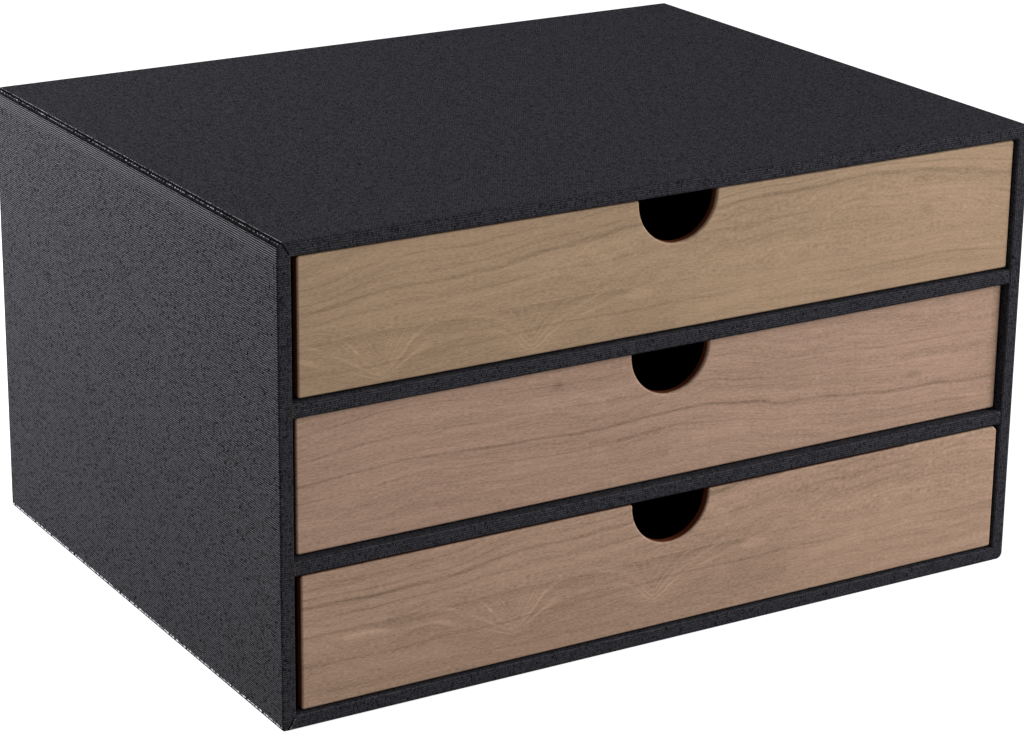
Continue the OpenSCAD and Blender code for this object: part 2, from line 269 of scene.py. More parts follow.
def canvas_paper(name, valley, thread, sparkle=0.5, shared=1, uneven=0.9, hollow=0.0, brightened_between=None):
    """Canvas paper: a plain weave of 0.53 by 0.855 mm embossed in black paper.

    The crowns of the threads are painted lighter than the valleys, as painted highlight on the crowns and
    painted shade in the valleys. A high sparkle leaves few crowns light, crowns that share their glint lie
    that many side by side, an uneven thread is thick and thin along its length, and hollow deepens the
    valleys between the coarse threads. The last argument gives the heights between which the crowns are
    painted lighter upwards, as painted light that falls off down the side, and the last 5 mm below the
    upper one are lighter along the coarse threads.
    """
    material, tree = new_material(name)
    coordinates = add_node(tree, "TexCoord")
    weave = coordinates.outputs["UV"]

    # The threads wander by a few tenths of a millimetre over about 4 mm
    wander = add_node(tree, "TexNoise", {
        "Vector": weave, "Scale": 1 / (4 * MM), "Detail": 3.0, "Roughness": 0.6,
    }, noise_dimensions="2D")
    shift = add_node(tree, "VectorMath", {
        0: wander.outputs["Color"], 1: (0.6 * MM, 0.4 * MM, 0.0),
    }, operation="MULTIPLY")
    place = add_node(tree, "VectorMath", {0: weave, 1: shift}, operation="ADD")
    threads = add_node(tree, "VectorMath", {
        0: place, 1: (1 / fine_pitch, 1 / coarse_pitch, 0.0),
    }, operation="MULTIPLY")

    # Each crossing is a rounded crown, and every other one is lower, where the coarse thread goes under
    count = add_node(tree, "SeparateXYZ", {0: threads})
    fine_turn = add_node(tree, "Math", {0: count.outputs["X"], 1: math.pi}, operation="MULTIPLY")
    coarse_turn = add_node(tree, "Math", {0: count.outputs["Y"], 1: math.pi}, operation="MULTIPLY")
    fine = add_node(tree, "Math", {0: fine_turn}, operation="SINE")
    coarse = add_node(tree, "Math", {0: coarse_turn}, operation="SINE")
    crossing = add_node(tree, "Math", {0: fine, 1: coarse}, operation="MULTIPLY")
    hump = add_node(tree, "Math", {0: crossing}, operation="ABSOLUTE")
    crown = add_node(tree, "Math", {0: hump, 1: 0.6}, operation="POWER")
    row = add_node(tree, "Math", {0: coarse, 1: coarse}, operation="MULTIPLY")
    if hollow > 0:
        hollowed = add_node(tree, "Math", {0: row, 1: hollow}, operation="POWER")
        crown = add_node(tree, "Math", {0: crown, 1: hollowed}, operation="MULTIPLY")
    upper = add_node(tree, "Math", {0: crossing}, operation="SIGN")
    level = add_node(tree, "Math", {0: upper, 1: 0.14, 2: 0.86}, operation="MULTIPLY_ADD")
    height = add_node(tree, "Math", {0: crown, 1: level}, operation="MULTIPLY")

    # Each float gets its own random brightness as a painted glint on its crown, and each thread is thick and
    # thin along its length
    grouped = add_node(tree, "VectorMath", {0: threads, 1: (1 / shared, 1.0, 1.0)}, operation="MULTIPLY")
    cell = add_node(tree, "VectorMath", {0: grouped}, operation="FLOOR")
    chance = add_node(tree, "TexWhiteNoise", {"Vector": cell}, noise_dimensions="2D")
    glint = add_node(tree, "Math", {0: chance, 1: sparkle}, operation="POWER")
    along = add_node(tree, "VectorMath", {0: threads, 1: (0.13, 0.8, 0.0)}, operation="MULTIPLY")
    slub = add_node(tree, "TexNoise", {
        "Vector": along, "Scale": 1.0, "Detail": 2.0,
    }, noise_dimensions="2D")
    thickness = add_node(tree, "Math", {0: slub, 1: uneven, 2: 1 - uneven / 2}, operation="MULTIPLY_ADD")
    dyed = add_node(tree, "Math", {0: height, 1: glint}, operation="MULTIPLY")
    lit = add_node(tree, "Math", {0: dyed, 1: thickness}, operation="MULTIPLY")

    # Painted light: the crowns are painted darker towards the foot of the sheet, as the light falls off down
    # the side, and just below its head they are lighter along the coarse threads
    if brightened_between is not None:
        foot, head = brightened_between
        z = add_node(tree, "SeparateXYZ", {0: coordinates.outputs["Object"]}).outputs["Z"]
        side = add_node(tree, "MapRange", {
            "Value": z, "From Min": foot, "From Max": head, "To Min": 0.73, "To Max": 1.0,
        })
        most = add_node(tree, "MapRange", {
            "Value": z, "From Min": head - head_band_from, "From Max": head - head_band_w,
            "To Min": 0.0, "To Max": 0.72,
        }, interpolation_type="SMOOTHSTEP")
        ridge = add_node(tree, "Math", {0: row, 1: 3.0}, operation="POWER")
        ridge = add_node(tree, "Math", {0: ridge, 1: thickness}, operation="MULTIPLY")
        kept = add_node(tree, "Math", {0: side, 1: most}, operation="SUBTRACT")
        lit = add_node(tree, "Math", {0: lit, 1: kept}, operation="MULTIPLY")
        lit = add_node(tree, "Math", {0: ridge, 1: most, 2: lit}, operation="MULTIPLY_ADD")

    # Painted light: the tone runs from the valley colour, as painted shade, to the thread colour, as painted
    # highlight on the crowns
    tone = add_node(tree, "Mix", {
        "Factor": lit, "A": linear(valley), "B": linear(thread),
    }, data_type="RGBA", clamp_factor=False)
    relief = add_node(tree, "Bump", {"Height": height, "Distance": 0.12 * MM, "Strength": 0.7})
    give_surface(tree, {"Base Color": tone, "Roughness": 0.8, "Specular IOR Level": 0.0, "Normal": relief})
    return material


def raw_edge(name, dark, light, bead):
    """The cut edge of the canvas paper: undyed fibre with loose ends, in beads of about that length."""
    material, tree = new_material(name)
    place = add_node(tree, "TexCoord").outputs["Object"]
    beads = add_node(tree, "TexNoise", {"Vector": place, "Scale": 1 / bead, "Detail": 2.0, "Roughness": 0.6})
    shown = add_node(tree, "MapRange", {"Value": beads, "From Min": 0.44, "From Max": 0.6})
    tone = add_node(tree, "Mix", {"Factor": shown, "A": linear(dark), "B": linear(light)}, data_type="RGBA")
    give_surface(tree, {"Base Color": tone, "Roughness": 0.9, "Specular IOR Level": 0.0})
    return material


wrap_low, case_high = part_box("case_wrap")
case_low = Vector((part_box("left_side_cover")[0].x, wrap_low.y, wrap_low.z))
mouth_in = -case_low.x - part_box("upper_shelf_wrap")[1].x

# The wrap's canvas is as it came off the roll, and the left sheet's is a lit copy of it, with lighter crowns
# and darker valleys as painted sheen from the lamp that rakes the left side. A crease is painted dark as
# painted shade, apart from a painted glint on its ridge.
canvas = canvas_paper("canvas_paper", valley="#101013", thread="#525157", sparkle=0.4)
lit_left_canvas = canvas_paper("canvas_paper_left_painted_sheen", valley="#08080a", thread="#6f6e73", sparkle=0.3, shared=2,
                           uneven=0.45, hollow=1.0, brightened_between=(case_low.z, case_high.z))
shaded_canvas = canvas_paper("canvas_paper_painted_shade", valley="#060607", thread="#242327")
glint_canvas = canvas_paper("canvas_paper_painted_glint", valley="#0c0c0e", thread="#d0d0d4", sparkle=3.0)
cut_edge = raw_edge("canvas_paper_cut_edge", dark="#242328", light="#8e8d92", bead=0.9 * MM)
frayed_edge = raw_edge("canvas_paper_frayed_edge", dark="#1a191c", light="#c4c4c8", bead=1.7 * MM)


def cut_out(piece, axis, place, side, margin):
    """Cuts the faces at that place into a margin and a middle, which is left selected."""
    across = [i for i in range(3) if i != axis]
    for i in across:
        for at in (case_low[i] + margin, case_high[i] - margin):
            pick(piece, "FACE", faces_at(axis, place, side))
            cut([at if j == i else 0 for j in range(3)], [float(j == i) for j in range(3)])
    pick(piece, "FACE", lambda f: faces_at(axis, place, side)(f)
         and all(case_low[i] + margin < middle(f)[i] < case_high[i] - margin for i in across))


wrap = block("canvas_wrap", case_low, case_high)
cut_out(wrap, 1, case_low.y, -1, mouth_in)
bpy.ops.mesh.extrude_region_move(TRANSFORM_OT_translate={"value": (0, turn_in, 0)})
bpy.ops.mesh.delete(type="FACE")
for axis, place, side in ((1, case_high.y, 1), (2, case_low.z, -1)):
    cut_out(wrap, axis, place, side, turn_over)
    bpy.ops.mesh.delete(type="FACE")

# Both edges of the right side are folded, and the left side is creased at its head and its foot
for x, z, radius in (
    (case_high.x, None, fold_r),
    (case_low.x, case_high.z, crease_r),
    (case_low.x, case_low.z, foot_crease_r),
):
    pick(wrap, "EDGE", lambda e: all(near(v.co.x, x) for v in e.verts)
         and near(e.verts[0].co.z, e.verts[1].co.z) and (z is None or near(e.verts[0].co.z, z)))
    roll_edges(radius, 8)


def on_outside(edge):
    """Whether an edge lies round the outside of the case and not round its mouth."""
    spot = middle(edge)
    reach = mouth_in - MM
    return (spot.x < case_low.x + reach or spot.x > case_high.x - reach
            or spot.z < case_low.z + reach or spot.z > case_high.z - reach)


front_edges = edges_in(1, case_low.y)
rear_edges = edges_in(1, case_high.y)
pick(wrap, "EDGE", lambda e: len(e.link_faces) == 2 and on_outside(e) and (front_edges(e) or rear_edges(e)))
roll_edges(edge_r, 5)
pick(wrap, "EDGE", lambda e: front_edges(e) and not on_outside(e))
roll_edges(mouth_r, 4)

# The left sheet is frayed just above its foot. The seam runs back along the top, a little askew, and down
# a mitre at each end of the left front edge. The wrap is mitred at the two right front corners too.
pick(wrap, "FACE", faces_at(0, case_low.x, -1))
cut((0, 0, case_low.z + foot_crease_r + frayed_w), (0, 0, 1))
seam_slant = (seam_back_w - seam_front_w) / (case_high.y - case_low.y)
seam_x = case_low.x + seam_front_w
mitre_run = mouth_in - seam_front_w
pick(wrap, "FACE", lambda f: abs(f.normal.x) < 0.99)
cut((seam_x, case_low.y, 0), (1, -seam_slant, 0))
for corner_z, way in ((case_high.z, 1), (case_low.z, -1)):
    for corner_x, run in (
        (seam_x - shaded_w, mitre_run),
        (seam_x, mitre_run),
        (seam_x + pale_strip_w, mitre_run),
        (case_high.x, -mouth_in),
    ):
        pick(wrap, "FACE", lambda f: middle(f).y < case_low.y + turn_in
             and abs(middle(f).z - corner_z) < 2 * mouth_in and abs(middle(f).x - corner_x) < 2 * mouth_in)
        cut((corner_x, case_low.y, corner_z), (mouth_in * way, 0, run))


def past_mitre(spot):
    """How far right of the left-hand mitres a place lies, negative on the left sheet."""
    drop = min(spot.z - case_low.z, case_high.z - spot.z)
    return spot.x - seam_x - drop * mitre_run / mouth_in


def on_left_sheet(face):
    """Whether a face lies left of the seam and its two mitres."""
    spot = middle(face)
    return spot.x < seam_x + seam_slant * (spot.y - case_low.y) or past_mitre(spot) < 0


pick(wrap, "FACE", on_left_sheet)
bpy.ops.mesh.separate(type="SELECTED")
bpy.ops.object.mode_set(mode="OBJECT")
left_cover = next(o for o in bpy.context.selected_objects if o != wrap)
left_cover.name = left_cover.data.name = "canvas_left_sheet"

# The left sheet was pressed flat first, so it lies lower than the wrap's cut edge along the seam.
bpy.ops.object.select_all(action="DESELECT")
bpy.context.view_layer.objects.active = left_cover
left_cover.select_set(True)
bpy.ops.object.mode_set(mode="EDIT")
pick(left_cover, "VERT", lambda v: v.co.z > case_high.z - crease_r)
bpy.ops.transform.resize(value=(1, 1, 1 - strip_drop / crease_r),
                         center_override=(0, 0, case_high.z - crease_r))
pick(left_cover, "VERT", lambda v: v.co.y < case_low.y + edge_r)
bpy.ops.transform.resize(value=(1, 1 - stile_drop / edge_r, 1),
                         center_override=(0, case_low.y + edge_r, 0))
bpy.ops.object.mode_set(mode="OBJECT")

make_sheet(wrap, sheet_t, [canvas, cut_edge])
left_finishes = {
    "side": lit_left_canvas, "cut": cut_edge, "shaded": shaded_canvas,
    "ridge glint": glint_canvas, "stile": canvas, "frayed": frayed_edge,
}
make_sheet(left_cover, sheet_t, list(left_finishes.values()))


def crease_angle(spot):
    """How far round the crease of the left sheet a place lies: 0 at the side, a right angle on top."""
    return math.atan2(spot.z - (case_high.z - crease_r), case_low.x + crease_r - spot.x)


def left_finish(face):
    """The finish of a face of the left sheet."""
    spot = face.center
    # Painted shade: the dark canvas goes on the stile beside the mitre, over the head crease apart from a
    # painted glint on its ridge, and along the foot crease
    if face.normal.y < -0.6:
        return "shaded" if past_mitre(spot) > -shaded_w else "stile"
    if spot.z > case_high.z - crease_r and face.normal.z > 0:
        turn = math.degrees(crease_angle(spot))
        return "side" if turn < 12 else "ridge glint" if 40 < turn < 55 else "shaded"
    if spot.z < case_low.z + foot_crease_r + frayed_w and -0.97 < face.normal.z < 0.1:
        return "frayed" if spot.z > case_low.z + foot_crease_r else "shaded"
    return "side"


for face in left_cover.data.polygons:
    if face.material_index == 0:
        face.material_index = list(left_finishes).index(left_finish(face))

# The wrap's face takes the pale cut-edge finish in a strip along the lower mitre
for face in wrap.data.polygons:
    if face.normal.y < -0.6 and face.center.z < case_low.z + mouth_in and past_mitre(face.center) < pale_strip_w:
        face.material_index = 1


def wrap_spread(face, spot):
    """The wrap's fine threads run from front to back, and turn with it down the right-hand side."""
    if facing(face) == 0:
        return spot.z, spot.y
    if facing(face) == 2:
        return spot.x, spot.y
    edge_above = min(face.center.z - case_low.z, case_high.z - face.center.z)
    on_right_stile = case_high.x - face.center.x < min(mouth_in, edge_above)
    return (spot.z, spot.x) if on_right_stile else (spot.x, spot.z)


def left_spread(face, spot):
    """The left sheet's coarse threads run from front to back, and follow the crease over its top."""
    if facing(face) == 1:
        return spot.x, spot.z
    if spot.z > case_high.z - crease_r:
        return spot.y, case_high.z - crease_r + crease_r * crease_angle(spot)
    return spot.y, spot.z


lay_weave(wrap, wrap_spread)
lay_weave(left_cover, left_spread)
for piece, node in ((wrap, "case_wrap"), (left_cover, "left_side_cover")):
    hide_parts(node)
    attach(piece, "case")

# ---------------------------------------------------------------- the shelves
# Two fixed boards, each with canvas paper folded round its front. They are glued in between the
# sides, and their ends are cut by hand, so a hair of shadow shows at each end.

shelf_edge_r = 1.3 * MM
shelf_end_gap = 0.12 * MM

dress(["lower_shelf_board", "upper_shelf_board"], board_finish)
for level in ("lower", "upper"):
    shelf_low, shelf_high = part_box(f"{level}_shelf_wrap")
    ends = Vector((shelf_end_gap, 0, 0))
    shelf = block(f"canvas_{level}_shelf", shelf_low + ends, shelf_high - ends)
    pick(shelf, "EDGE", lambda e: all(near(v.co.y, shelf_low.y) for v in e.verts)
         and near(e.verts[0].co.z, e.verts[1].co.z))
    roll_edges(shelf_edge_r, 6)
    pick(shelf, "FACE", lambda f: abs(f.normal.x) > 0.9 or f.normal.y > 0.9)
    bpy.ops.mesh.delete(type="FACE")
    bpy.ops.object.mode_set(mode="OBJECT")
    make_sheet(shelf, sheet_t, [canvas, cut_edge])
    lay_weave(shelf, lambda face, spot: (spot.x, spot.z if facing(face) == 1 else spot.y))
    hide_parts(f"{level}_shelf_wrap")
    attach(shelf, "case")

# ---------------------------------------------------------------- the back and base sheets
# Two sheets of black paper glued over the turned-over canvas paper, 3 mm in from the edges.
# The canvas paper stops 20 mm in, and the sheets sink by its thickness there.

cover_t = 0.3 * MM
cover_margin = 3 * MM
dent = 0.2 * MM
dent_slope = 1.5 * MM
sheet_edge_r = 0.12 * MM

back_paper = plain_paper("back_paper", light="#2a2a2c", dark="#1b1b1d", fibre=0.6 * MM)
for node, axis, side in (("back_cover", 1, 1), ("base_sheet", 2, -1)):
    sheet_low, sheet_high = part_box(node)
    face_at = (sheet_high if side > 0 else sheet_low)[axis]
    if side > 0:
        sheet_low[axis] = face_at - cover_t
    else:
        sheet_high[axis] = face_at + cover_t
    sheet = block(f"paper_{node}", sheet_low, sheet_high)
    pick(sheet, "EDGE", lambda e: all(near(v.co[axis], face_at) for v in e.verts))
    roll_edges(sheet_edge_r, 2)
    pick(sheet, "FACE", faces_at(axis, face_at, side))
    bpy.ops.mesh.inset(thickness=turn_over - cover_margin)
    bpy.ops.mesh.inset(thickness=dent_slope)
    move = [0, 0, 0]
    move[axis] = -dent * side
    bpy.ops.transform.translate(value=move)
    bpy.ops.object.mode_set(mode="OBJECT")
    sheet.data.materials.append(back_paper)
    smooth(sheet)
    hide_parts(node)
    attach(sheet, "case")

# ---------------------------------------------------------------- the drawer trays
# Each tray is three thin boards round a bottom board, with black paper round the outside, over the
# rim and down inside it, and more paper as a lining, which stops below the finger notch in front.

tray_paper_t = 0.3 * MM
tray_wall_t = 2.8 * MM
tray_turn = 12 * MM
tray_edge_r = 0.9 * MM
rim_inner_r = 0.5 * MM
lining_corner_r = 0.8 * MM
notch_r = 17.4 * MM
notch_lip_r = 1.0 * MM
notch_margin = 2 * MM


def is_fold(edge):
    """Whether two faces meet at an angle in an edge."""
    return len(edge.link_faces) == 2 and edge.link_faces[0].normal.dot(edge.link_faces[1].normal) < 0.5


def along_corner(edge, low, high):
    """Whether an edge runs along a corner of the block between low and high, the front corners left out."""
    planes = (((0, low.x), (0, high.x)), ((1, high.y),), ((2, low.z), (2, high.z)))
    return sum(any(all(near(v.co[axis], place) for v in edge.verts) for axis, place in pair)
               for pair in planes) > 1


# The tray paper's near-black colour is both its own and painted shade for the dark inside seen through the
# notch.
tray_paper = plain_paper("tray_paper", light="#232325", dark="#151517", fibre=0.7 * MM)
for tier in ("bottom", "middle", "top"):
    drawer = f"{tier}_drawer"
    dress([f"{drawer}_{part}" for part in ("front_board", "left_side", "right_side", "back", "bottom")],
          board_finish)

    tray_low, tray_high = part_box(f"{drawer}_cover")
    cover = block(f"{drawer}_outer_paper", tray_low, tray_high)
    for place, normal in (((tray_low.x + tray_wall_t, 0, 0), (1, 0, 0)),
                          ((tray_high.x - tray_wall_t, 0, 0), (1, 0, 0)),
                          ((0, tray_high.y - tray_wall_t, 0), (0, 1, 0))):
        pick(cover, "FACE", faces_at(2, tray_high.z, 1))
        cut(place, normal)
    pick(cover, "FACE", lambda f: f.normal.z > 0.9 and middle(f).y < tray_high.y - tray_wall_t
         and tray_low.x + tray_wall_t < middle(f).x < tray_high.x - tray_wall_t)
    bpy.ops.mesh.extrude_region_move(TRANSFORM_OT_translate={"value": (0, 0, -tray_turn)})
    bpy.ops.mesh.delete(type="FACE")
    pick(cover, "FACE", lambda f: near(middle(f).y, tray_low.y))
    bpy.ops.mesh.delete(type="FACE")
    pick(cover, "EDGE", lambda e: is_fold(e) and along_corner(e, tray_low, tray_high))
    roll_edges(tray_edge_r, 4)
    pick(cover, "EDGE", lambda e: is_fold(e) and all(near(v.co.z, tray_high.z) for v in e.verts))
    roll_edges(rim_inner_r, 3)
    bpy.ops.object.mode_set(mode="OBJECT")
    make_sheet(cover, tray_paper_t, [tray_paper])
    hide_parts(f"{drawer}_cover")

    lining_low, lining_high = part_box(f"{drawer}_lining")
    below_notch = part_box(f"{drawer}_front_foil")[1].z - notch_lip_r - notch_r - notch_margin
    lining = block(f"{drawer}_lining_paper", lining_low, lining_high)
    pick(lining, "FACE", faces_at(2, lining_high.z, 1))
    bpy.ops.mesh.delete(type="FACE")
    pick(lining, "FACE", faces_at(1, lining_low.y, -1))
    cut((0, 0, below_notch), (0, 0, 1))
    pick(lining, "FACE", lambda f: f.normal.y < -0.9 and middle(f).z > below_notch)
    bpy.ops.mesh.delete(type="FACE")
    pick(lining, "EDGE", lambda e: is_fold(e) and along_corner(e, lining_low, lining_high))
    roll_edges(lining_corner_r, 4)
    bpy.ops.object.mode_set(mode="OBJECT")
    make_sheet(lining, tray_paper_t, [tray_paper])
    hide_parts(f"{drawer}_lining")
    for piece in (cover, lining):
        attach(piece, drawer)

# ---------------------------------------------------------------- the drawer fronts
# A thin board wrapped in printed walnut-look paper, glued across the open end of each tray.
# The paper is rolled over the edges and through the half-round finger notch.

foil_t = 0.3 * MM
foil_turn = 12 * MM
front_edge_r = 0.9 * MM
front_corner_r = 1.0 * MM
blunt_corner_r = 2.6 * MM
roll_gap = 0.02 * MM
print_left = -220.0
print_right = 180.0
print_height = 50.0
sway_lift = 3.0


def course(tree, x, places, sharp=()):
    """The height of a line along the print, through these places in millimetres. Sharp ones are kinks."""
    along = add_node(tree, "MapRange", {"Value": x, "From Min": print_left, "From Max": print_right})
    curve = add_node(tree, "FloatCurve", {"Value": along})
    line = curve.mapping.curves[0]
    for place_x, place_z in places[1:-1]:
        line.points.new((place_x - print_left) / (print_right - print_left), place_z / print_height)
    for point, (place_x, place_z) in zip(line.points, places):
        point.location = ((place_x - print_left) / (print_right - print_left), place_z / print_height)
        point.handle_type = "VECTOR" if place_x in sharp else "AUTO"
    curve.mapping.update()
    return add_node(tree, "Math", {0: curve, 1: print_height}, operation="MULTIPLY")


def streaks(tree, x, level, length, pitch, detail, weight):
    """Streaks along the growth lines, of that length and pitch in millimetres, as tones round 0."""
    along = add_node(tree, "Math", {0: x, 1: length}, operation="DIVIDE")
    across = add_node(tree, "Math", {0: level, 1: pitch}, operation="DIVIDE")
    spot = add_node(tree, "CombineXYZ", {"X": along, "Y": across})
    noise = add_node(tree, "TexNoise", {
        "Vector": spot, "Scale": 1.0, "Detail": detail, "Roughness": 0.6,
    }, noise_dimensions="2D")
    return add_node(tree, "Math", {0: noise, 1: weight, 2: -weight / 2}, operation="MULTIPLY_ADD")


def growth_line(tree, level, uneven, at, width, strength):
    """A line along the growth at that level, strongest in its middle, that comes and goes along it."""
    gap = add_node(tree, "Math", {0: level, 1: at + sway_lift}, operation="SUBTRACT")
    gap = add_node(tree, "Math", {0: gap}, operation="ABSOLUTE")
    line = add_node(tree, "MapRange", {
        "Value": gap, "From Min": 0.0, "From Max": width, "To Min": 2 * strength, "To Max": 0.0,
    }, interpolation_type="SMOOTHSTEP")
    return add_node(tree, "Math", {0: line, 1: uneven}, operation="MULTIPLY")


def knot(tree, place, uneven, knot_x, knot_z, width, height):
    """A knot: a dark smudge with a ragged edge that the lines run into."""
    from_knot = add_node(tree, "VectorMath", {0: place, 1: (knot_x, 0.0, knot_z)}, operation="SUBTRACT")
    scaled = add_node(tree, "VectorMath", {
        0: from_knot, 1: (2 / width, 0.0, 2 / height),
    }, operation="MULTIPLY")
    away = add_node(tree, "VectorMath", {0: scaled}, operation="LENGTH")
    ragged = add_node(tree, "Math", {0: uneven, 1: 1.2, 2: 0.4}, operation="MULTIPLY_ADD")
    away = add_node(tree, "Math", {0: away.outputs["Value"], 1: ragged}, operation="MULTIPLY")
    return add_node(tree, "MapRange", {
        "Value": away, "From Min": 0.2, "From Max": 1.0, "To Min": 0.2, "To Max": 0.0,
    })


def walnut_look_paper(name, origin, light, dark, figure):
    """Printed walnut on matt coated paper: growth lines, fibres and short pores, in millimetres.

    The print is offset, so its lines are tones and not relief, and only the pores are pressed in.
    """
    material, tree = new_material(name)
    place = add_node(tree, "TexCoord").outputs["Object"]
    from_corner = add_node(tree, "VectorMath", {0: place, 1: origin}, operation="SUBTRACT")
    in_mm = add_node(tree, "VectorMath", {0: from_corner, "Scale": 1 / MM}, operation="SCALE")
    depth_y = add_node(tree, "SeparateXYZ", {0: in_mm}).outputs["Y"]
    on_print = add_node(tree, "VectorMath", {0: in_mm, 1: figure["offset"]}, operation="SUBTRACT")
    spot = add_node(tree, "SeparateXYZ", {0: on_print})
    x, z = spot.outputs["X"], spot.outputs["Z"]

    # Growth lines rise and fall together, more so towards the top of the sheet
    sway_place = add_node(tree, "VectorMath", {0: on_print, 1: (1 / 48, 0.0, 1 / 15)}, operation="MULTIPLY")
    sway = add_node(tree, "TexNoise", {"Vector": sway_place, "Scale": 1.0, "Detail": 2.0, "Roughness": 0.45})
    reach = add_node(tree, "MapRange", {
        "Value": z, "From Min": figure["calm"], "From Max": figure["lively"], "To Min": 0.35, "To Max": 1.25,
    })
    rise = course(tree, x, figure["rise"])
    risen = add_node(tree, "Math", {0: rise, 1: reach}, operation="MULTIPLY")
    level = add_node(tree, "Math", {0: z, 1: risen}, operation="SUBTRACT")
    growth = add_node(tree, "Math", {0: sway, 1: 2 * sway_lift, 2: level}, operation="MULTIPLY_ADD")

    # Fibres about 9 mm long and flecks about 2 mm long lie along bands of growth 4 mm apart
    fibres = streaks(tree, x, growth, length=9.0, pitch=0.75, detail=2.0, weight=0.5)
    flecks = streaks(tree, x, growth, length=1.8, pitch=0.4, detail=1.0, weight=0.72)
    bands = streaks(tree, x, growth, length=75.0, pitch=4.2, detail=4.0, weight=0.62)

    # A few late-wood lines are darker than the rest, and come and go along the sheet
    uneven_place = add_node(tree, "VectorMath", {0: on_print, 1: (1 / 22, 0.0, 1 / 9)}, operation="MULTIPLY")
    uneven = add_node(tree, "TexNoise", {"Vector": uneven_place, "Scale": 1.0, "Detail": 2.0})
    marks = [growth_line(tree, growth, uneven, *line) for line in figure["late_wood"]]

    # Below the heart line of the log, on the left, the lines hang in arches and leave a darker field
    if "arches" in figure:
        heart = add_node(tree, "Math", {0: sway, 1: 3.0, 2: figure["heart"] - 1.5}, operation="MULTIPLY_ADD")
        under = add_node(tree, "Math", {0: z, 1: heart}, operation="LESS_THAN")
        on_left = add_node(tree, "MapRange", {
            "Value": x, "From Min": 25.0, "From Max": -25.0, "To Min": 0.0, "To Max": 1.0,
        }, interpolation_type="SMOOTHSTEP")
        in_arches = add_node(tree, "Math", {0: under, 1: on_left}, operation="MULTIPLY")
        arch = course(tree, x, figure["arches"], sharp=figure["valleys"])
        fall = add_node(tree, "MapRange", {
            "Value": z, "From Min": -1.0, "From Max": 19.0, "To Min": 0.0, "To Max": 0.4,
        })
        fallen = add_node(tree, "Math", {0: arch, 1: fall}, operation="MULTIPLY")
        arched = add_node(tree, "Math", {0: z, 1: fallen}, operation="SUBTRACT")
        nested = add_node(tree, "Math", {0: sway, 1: 4.0, 2: arched}, operation="MULTIPLY_ADD")
        nested_bands = streaks(tree, x, nested, length=75.0, pitch=2.4, detail=3.0, weight=0.5)
        bands = add_node(tree, "Mix", {
            "Factor": in_arches, "A": bands, "B": nested_bands,
        }, data_type="FLOAT")
        broken = add_node(tree, "MapRange", {
            "Value": uneven, "From Min": 0.36, "From Max": 0.52, "To Min": 0.0, "To Max": 1.0,
        })
        broken = add_node(tree, "Math", {0: broken, 1: in_arches}, operation="MULTIPLY")
        for line in figure["pale_arches"]:
            pale = growth_line(tree, nested, uneven, *line)
            marks.append(add_node(tree, "Math", {0: pale, 1: broken}, operation="MULTIPLY"))
        to_heart = add_node(tree, "Math", {0: heart, 1: z}, operation="SUBTRACT")
        shade = add_node(tree, "MapRange", {
            "Value": to_heart, "From Min": 0.0, "From Max": 4.0, "To Min": 0.26, "To Max": 0.08,
        })
        marks.append(add_node(tree, "Math", {0: shade, 1: in_arches}, operation="MULTIPLY"))
    marks += [knot(tree, on_print, uneven, *size) for size in figure["knots"]]

    depth = add_node(tree, "Math", {0: fibres, 1: flecks}, operation="ADD")
    for mark in [bands, *marks]:
        depth = add_node(tree, "Math", {0: depth, 1: mark}, operation="ADD")
    depth = add_node(tree, "Math", {0: depth, 1: 0.5}, operation="ADD")
    print_tone = add_node(tree, "Mix", {
        "Factor": depth, "A": linear(light), "B": linear(dark),
    }, data_type="RGBA", clamp_factor=False)

    # Painted shade: the print turns dark brown over the edges and down the notch wall, which lie in shade,
    # sooner on the left, where the edges face the gap
    on_right = add_node(tree, "Math", {0: x, 1: figure["offset"][0]}, operation="GREATER_THAN")
    rolled_from = add_node(tree, "Math", {0: on_right, 1: -0.5, 2: depth_y}, operation="MULTIPLY_ADD")
    rolled = add_node(tree, "MapRange", {
        "Value": rolled_from, "From Min": 0.15, "From Max": 1.1, "To Min": 0.0, "To Max": 1.0,
    }, interpolation_type="SMOOTHSTEP")
    tone = add_node(tree, "Mix", {
        "Factor": rolled, "A": print_tone, "B": linear("#5a2a14"),
    }, data_type="RGBA")
    pores = add_node(tree, "MapRange", {
        "Value": flecks, "From Min": 0.06, "From Max": 0.2, "To Min": 0.0, "To Max": 1.0,
    })
    relief = add_node(tree, "Bump", {"Height": pores, "Distance": 0.02 * MM, "Strength": 0.4}, invert=True)
    give_surface(tree, {"Base Color": tone, "Roughness": 0.6, "Specular IOR Level": 0.15, "Normal": relief})
    return material


# The print comes again on the roll, so the bottom front shows the top one's figure 56 mm further on.
# Each course is drawn through places in millimetres, and a line has its level, width and strength.
heart_figure = {
    "calm": 20.0, "lively": 44.0, "heart": 19.5,
    "rise": [(-220, 0), (-157, 1), (-125, 5), (-90, 6), (-20, 10), (50, 13), (115, 13), (157, 9), (180, 7)],
    "arches": [(-220, 41), (-166, 39), (-150, 36), (-138, 31), (-131, 19), (-126, 0), (-122, 20), (-117, 32),
               (-110, 37), (-95, 39), (-80, 38), (-72, 33), (-67, 20), (-63, 0), (-59, 19), (-53, 30),
               (-45, 36), (-35, 39), (-20, 41), (20, 42), (180, 43)],
    "valleys": (-126, -63),
    "late_wood": [(30.2, 1.2, 0.3), (33.5, 0.8, 0.18), (25.0, 0.8, 0.15), (39.0, 0.9, 0.15),
                  (7.0, 0.9, 0.18)],
    "pale_arches": [(1.2, 0.4, -0.26), (2.6, 0.35, -0.26), (4.6, 0.4, -0.24), (9.0, 0.4, -0.22)],
    "knots": [(117, 31, 9, 6), (116, 43, 10, 3)],
}
